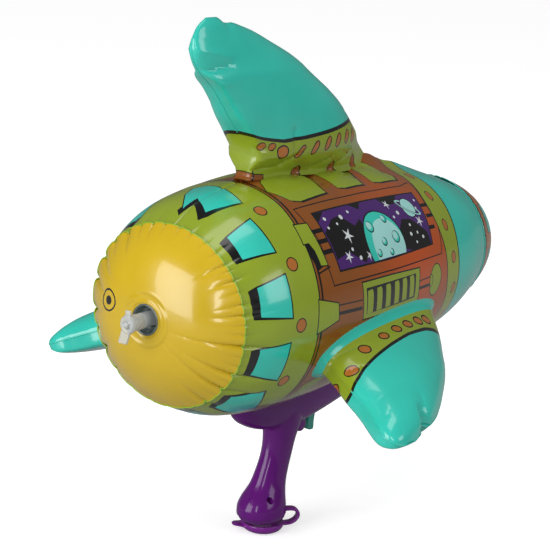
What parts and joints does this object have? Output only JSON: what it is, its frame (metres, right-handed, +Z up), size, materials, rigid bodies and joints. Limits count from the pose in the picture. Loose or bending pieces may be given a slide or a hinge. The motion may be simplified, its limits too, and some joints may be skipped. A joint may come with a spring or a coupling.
{
  "type": "inflatable rocket water pistol",
  "caption": "Inflated rocket with three fins on a small trigger-pump water pistol, with a filler cap under its grip and an inflation valve in its tail.",
  "frame": {"origin": "centre of the flat underside of the filler cap, under the pistol's grip", "axes": "+X along the hull towards the nose, +Y to port, +Z up through the top fin"},
  "size_m": [0.5063, 0.3852, 0.467],
  "materials": {
    "printed_film": "gloss printed vinyl film",
    "yellow_film": "gloss vinyl film",
    "nose_film": "gloss printed vinyl film",
    "teal_film": "gloss vinyl film",
    "clear_vinyl": "clear soft vinyl",
    "purple_plastic": "gloss moulded",
    "purple_vinyl": "satin soft vinyl",
    "trigger_plastic": "satin moulded",
    "natural_plastic": "natural moulded",
    "steel": "bright",
    "seal_rubber": "matt"
  },
  "bodies": {
    "rocket": {"hull_starboard_panel": "printed_film", "hull_port_panel": "printed_film", "tail_cap": "yellow_film", "nose_cap": "nose_film", "starboard_fin_upper": "teal_film", "starboard_fin_lower": "teal_film", "starboard_fin_base": "teal_film", "port_fin_upper": "teal_film", "port_fin_lower": "teal_film", "port_fin_base": "teal_film", "valve_base": "clear_vinyl", "belly_tab_rear": "printed_film", "belly_tab_front": "printed_film", "housing_starboard": "purple_plastic", "housing_port": "purple_plastic", "housing_screw_1": "steel", "housing_screw_2": "steel", "housing_screw_3": "steel", "housing_screw_4": "steel", "housing_screw_5": "steel", "trigger_pin": "steel", "pump_cylinder": "natural_plastic", "return_spring": "steel", "intake_tube": "clear_vinyl", "outlet_tube": "clear_vinyl", "nozzle": "purple_plastic", "water_tank": "natural_plastic", "cap_strap": "purple_vinyl"},
    "trigger": {"trigger": "trigger_plastic"},
    "piston": {"pump_piston": "natural_plastic", "piston_seal": "seal_rubber"},
    "inlet_ball": {"inlet_ball": "steel"},
    "outlet_ball": {"outlet_ball": "steel"},
    "filler_cap": {"filler_cap": "purple_vinyl"},
    "valve_stem": {"valve_stem": "clear_vinyl"},
    "valve_plug": {"valve_plug": "clear_vinyl"},
    "valve_flap": {"valve_flap": "clear_vinyl"}
  },
  "joints": [
    {"name": "trigger_pull", "type": "hinge", "parent": "rocket", "child": "trigger", "pos_m": [0.0695, 0, 0.118], "axis": [0, 1, 0], "range_deg": [0, 18], "stiffness_Nm_per_rad": 0.4},
    {"name": "piston_stroke", "type": "slide", "parent": "rocket", "child": "piston", "axis": [-1, 0, 0], "range_m": [0, 0.0045], "deforming": ["return_spring"]},
    {"name": "inlet_ball_lift", "type": "slide", "parent": "rocket", "child": "inlet_ball", "axis": [0, 0, 1], "range_m": [0, 0.0015]},
    {"name": "outlet_ball_lift", "type": "slide", "parent": "rocket", "child": "outlet_ball", "axis": [0, 0, 1], "range_m": [0, 0.0015]},
    {"name": "filler_cap_pull", "type": "slide", "parent": "rocket", "child": "filler_cap", "axis": [0, 0, -1], "range_m": [0, 0.018]},
    {"name": "valve_push_in", "type": "slide", "parent": "rocket", "child": "valve_stem", "axis": [1, 0, 0], "range_m": [0, 0.018]},
    {"name": "valve_plug_pull", "type": "slide", "parent": "valve_stem", "child": "valve_plug", "axis": [-1, 0, 0], "range_m": [0, 0.016]},
    {"name": "valve_flap_open", "type": "hinge", "parent": "valve_stem", "child": "valve_flap", "pos_m": [-0.1599, 0, 0.2372], "axis": [0, -1, 0], "range_deg": [0, 35], "stiffness_Nm_per_rad": 0.001}
  ],
  "couplings": [
    {"joint": "piston_stroke", "follows": "trigger_pull", "m_per_rad": 0.014}
  ]
}
